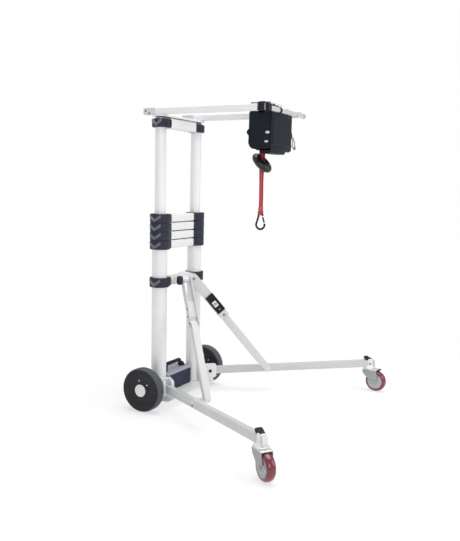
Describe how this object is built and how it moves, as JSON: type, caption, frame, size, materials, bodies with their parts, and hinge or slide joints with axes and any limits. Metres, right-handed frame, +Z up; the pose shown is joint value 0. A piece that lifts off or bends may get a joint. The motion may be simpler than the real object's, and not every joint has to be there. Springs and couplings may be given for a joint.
{
  "type": "patient lift hoist",
  "caption": "Portable patient lift hoist: telescopic ladder mast on rear wheels and splayed folding legs with swivel casters, with a forward boom carrying a strap winch.",
  "frame": {"origin": "centre of the footprint's plan outline, on the floor", "axes": "+Z up, +X forward from the mast to the casters, +Y across towards the far side, where the lock is"},
  "size_m": [0.9674, 1.3491, 1.389],
  "materials": {
    "aluminium": "satin anodised tube",
    "white_paint": "semi-gloss off-white powder coat",
    "white_steel": "semi-gloss off-white powder coat",
    "collar_plastic": "moulded slate-blue plastic",
    "tyre_rubber": "charcoal solid rubber",
    "caster_tyre": "translucent maroon polyurethane",
    "zinc": "zinc-plated pressed steel",
    "steel": "bright steel tube",
    "dark_steel": "black painted steel",
    "winch_black": "blue-black case",
    "navy_plastic": "navy moulded case",
    "black_plastic": "black moulded plastic",
    "lock_black": "black moulded plastic",
    "button_white": "white moulded plastic",
    "red_webbing": "woven red webbing"
  },
  "bodies": {
    "frame": {"base_tray": "white_steel", "battery_box": "navy_plastic", "brace_hub": "white_steel", "fixed_rung": "aluminium", "clamp_rung": "aluminium", "lower_post_near": "aluminium", "fixed_collar_near": "collar_plastic", "clamp_collar_near": "collar_plastic", "leg_bracket_near": "white_steel", "wheel_axle_near": "white_steel", "lower_post_far": "aluminium", "fixed_collar_far": "collar_plastic", "clamp_collar_far": "collar_plastic", "leg_bracket_far": "white_steel", "wheel_axle_far": "white_steel"},
    "battery_handle": {"battery_handle": "black_plastic"},
    "stage_2": {"stage_2_rung": "aluminium", "stage_2_tube_near": "aluminium", "stage_2_collar_near": "collar_plastic", "stage_2_tube_far": "aluminium", "stage_2_collar_far": "collar_plastic"},
    "stage_3": {"stage_3_rung": "aluminium", "stage_3_tube_near": "aluminium", "stage_3_collar_near": "collar_plastic", "stage_3_tube_far": "aluminium", "stage_3_collar_far": "collar_plastic"},
    "stage_4": {"stage_4_rung": "aluminium", "stage_4_tube_near": "aluminium", "stage_4_collar_near": "collar_plastic", "stage_4_tube_far": "aluminium", "stage_4_collar_far": "collar_plastic"},
    "top_stage": {"top_rung": "aluminium", "top_tube_near": "aluminium", "top_collar_near": "collar_plastic", "top_tube_far": "aluminium", "top_collar_far": "collar_plastic", "boom_saddle": "white_steel", "boom_beam_near": "white_paint", "boom_beam_far": "white_paint", "cross_tube": "steel", "winch_hanger": "dark_steel", "winch_housing": "winch_black", "strap_stopper": "black_plastic"},
    "hook": {"lift_strap": "red_webbing", "snap_hook": "black_plastic"},
    "gate": {"hook_gate": "black_plastic"},
    "rear_wheel_near": {"rear_wheel_near": "tyre_rubber"},
    "rear_wheel_far": {"rear_wheel_far": "tyre_rubber"},
    "leg_near": {"leg_near": "white_paint"},
    "leg_far": {"leg_far": "white_paint"},
    "caster_fork_near": {"caster_fork_near": "zinc"},
    "caster_fork_far": {"caster_fork_far": "zinc"},
    "caster_wheel_near": {"caster_wheel_near": "caster_tyre"},
    "caster_wheel_far": {"caster_wheel_far": "caster_tyre"},
    "brace_upper_near": {"brace_upper_near": "white_paint"},
    "brace_upper_far": {"brace_upper_far": "white_paint", "lock_housing": "lock_black"},
    "brace_lower_near": {"brace_lower_near": "white_paint"},
    "brace_lower_far": {"brace_lower_far": "white_paint"},
    "lock_button": {"lock_button": "button_white"}
  },
  "joints": [
    {"name": "stage_2_slide", "type": "slide", "parent": "frame", "child": "stage_2", "axis": [0, 0, 1], "range_m": [0, 0.22]},
    {"name": "stage_3_slide", "type": "slide", "parent": "stage_2", "child": "stage_3", "axis": [0, 0, 1], "range_m": [0, 0.22]},
    {"name": "stage_4_slide", "type": "slide", "parent": "stage_3", "child": "stage_4", "axis": [0, 0, 1], "range_m": [0, 0.22]},
    {"name": "top_stage_slide", "type": "slide", "parent": "stage_4", "child": "top_stage", "axis": [0, 0, 1], "range_m": [-0.38, 0]},
    {"name": "hook_lift", "type": "slide", "parent": "top_stage", "child": "hook", "axis": [0, 0, 1], "range_m": [-0.4, 0.15], "deforming": ["lift_strap"]},
    {"name": "hook_gate_hinge", "type": "hinge", "parent": "hook", "child": "gate", "pos_m": [0.07378, 0.0165, 0.86724], "axis": [0, -1, 0], "range_deg": [0, 25]},
    {"name": "battery_handle_fold", "type": "hinge", "parent": "frame", "child": "battery_handle", "pos_m": [-0.4035, 0.0165, 0.1435], "axis": [0, 1, 0], "range_deg": [-80, 80]},
    {"name": "rear_wheel_near_spin", "type": "hinge", "parent": "frame", "child": "rear_wheel_near", "pos_m": [-0.3835, -0.254, 0.1], "axis": [0, 1, 0], "continuous": true},
    {"name": "rear_wheel_far_spin", "type": "hinge", "parent": "frame", "child": "rear_wheel_far", "pos_m": [-0.3835, 0.287, 0.1], "axis": [0, 1, 0], "continuous": true},
    {"name": "leg_near_fold", "type": "hinge", "parent": "frame", "child": "leg_near", "pos_m": [-0.3085, -0.1735, 0.098], "axis": [-0.682, -0.7314, 0], "range_deg": [0, 75]},
    {"name": "leg_far_fold", "type": "hinge", "parent": "frame", "child": "leg_far", "pos_m": [-0.3085, 0.2065, 0.098], "axis": [0.682, -0.7314, 0], "range_deg": [0, 75]},
    {"name": "brace_upper_near_pitch", "type": "hinge", "parent": "frame", "child": "brace_upper_near", "pos_m": [-0.3135, -0.0155, 0.585], "axis": [-0.682, -0.7314, 0], "range_deg": [0, 89.07]},
    {"name": "brace_upper_far_pitch", "type": "hinge", "parent": "frame", "child": "brace_upper_far", "pos_m": [-0.3135, 0.0485, 0.585], "axis": [0.682, -0.7314, 0], "range_deg": [0, 89.07]},
    {"name": "brace_knee_near_fold", "type": "hinge", "parent": "brace_upper_near", "child": "brace_lower_near", "pos_m": [-0.20225, -0.11924, 0.40587], "axis": [-0.682, -0.7314, 0], "range_deg": [-132.77, 0]},
    {"name": "brace_knee_far_fold", "type": "hinge", "parent": "brace_upper_far", "child": "brace_lower_far", "pos_m": [-0.20225, 0.15224, 0.40587], "axis": [0.682, -0.7314, 0], "range_deg": [-132.77, 0]},
    {"name": "lock_button_press", "type": "slide", "parent": "brace_upper_far", "child": "lock_button", "axis": [-0.682, 0.7314, 0], "range_m": [0, 0.003]},
    {"name": "caster_near_swivel", "type": "hinge", "parent": "leg_near", "child": "caster_fork_near", "pos_m": [0.3925, -0.6115, 0.1185], "axis": [0, 0, 1], "continuous": true},
    {"name": "caster_far_swivel", "type": "hinge", "parent": "leg_far", "child": "caster_fork_far", "pos_m": [0.3925, 0.6445, 0.1185], "axis": [0, 0, 1], "continuous": true},
    {"name": "caster_near_spin", "type": "hinge", "parent": "caster_fork_near", "child": "caster_wheel_near", "pos_m": [0.42324, -0.63384, 0.053], "axis": [0.5878, 0.809, 0], "continuous": true},
    {"name": "caster_far_spin", "type": "hinge", "parent": "caster_fork_far", "child": "caster_wheel_far", "pos_m": [0.43041, 0.64185, 0.053], "axis": [0.0698, 0.9976, 0], "continuous": true}
  ],
  "couplings": [
    {"joint": "brace_upper_near_pitch", "follows": "leg_near_fold", "ratio": 1.1876},
    {"joint": "brace_knee_near_fold", "follows": "leg_near_fold", "ratio": -1.7703},
    {"joint": "brace_upper_far_pitch", "follows": "leg_far_fold", "ratio": 1.1876},
    {"joint": "brace_knee_far_fold", "follows": "leg_far_fold", "ratio": -1.7703}
  ]
}
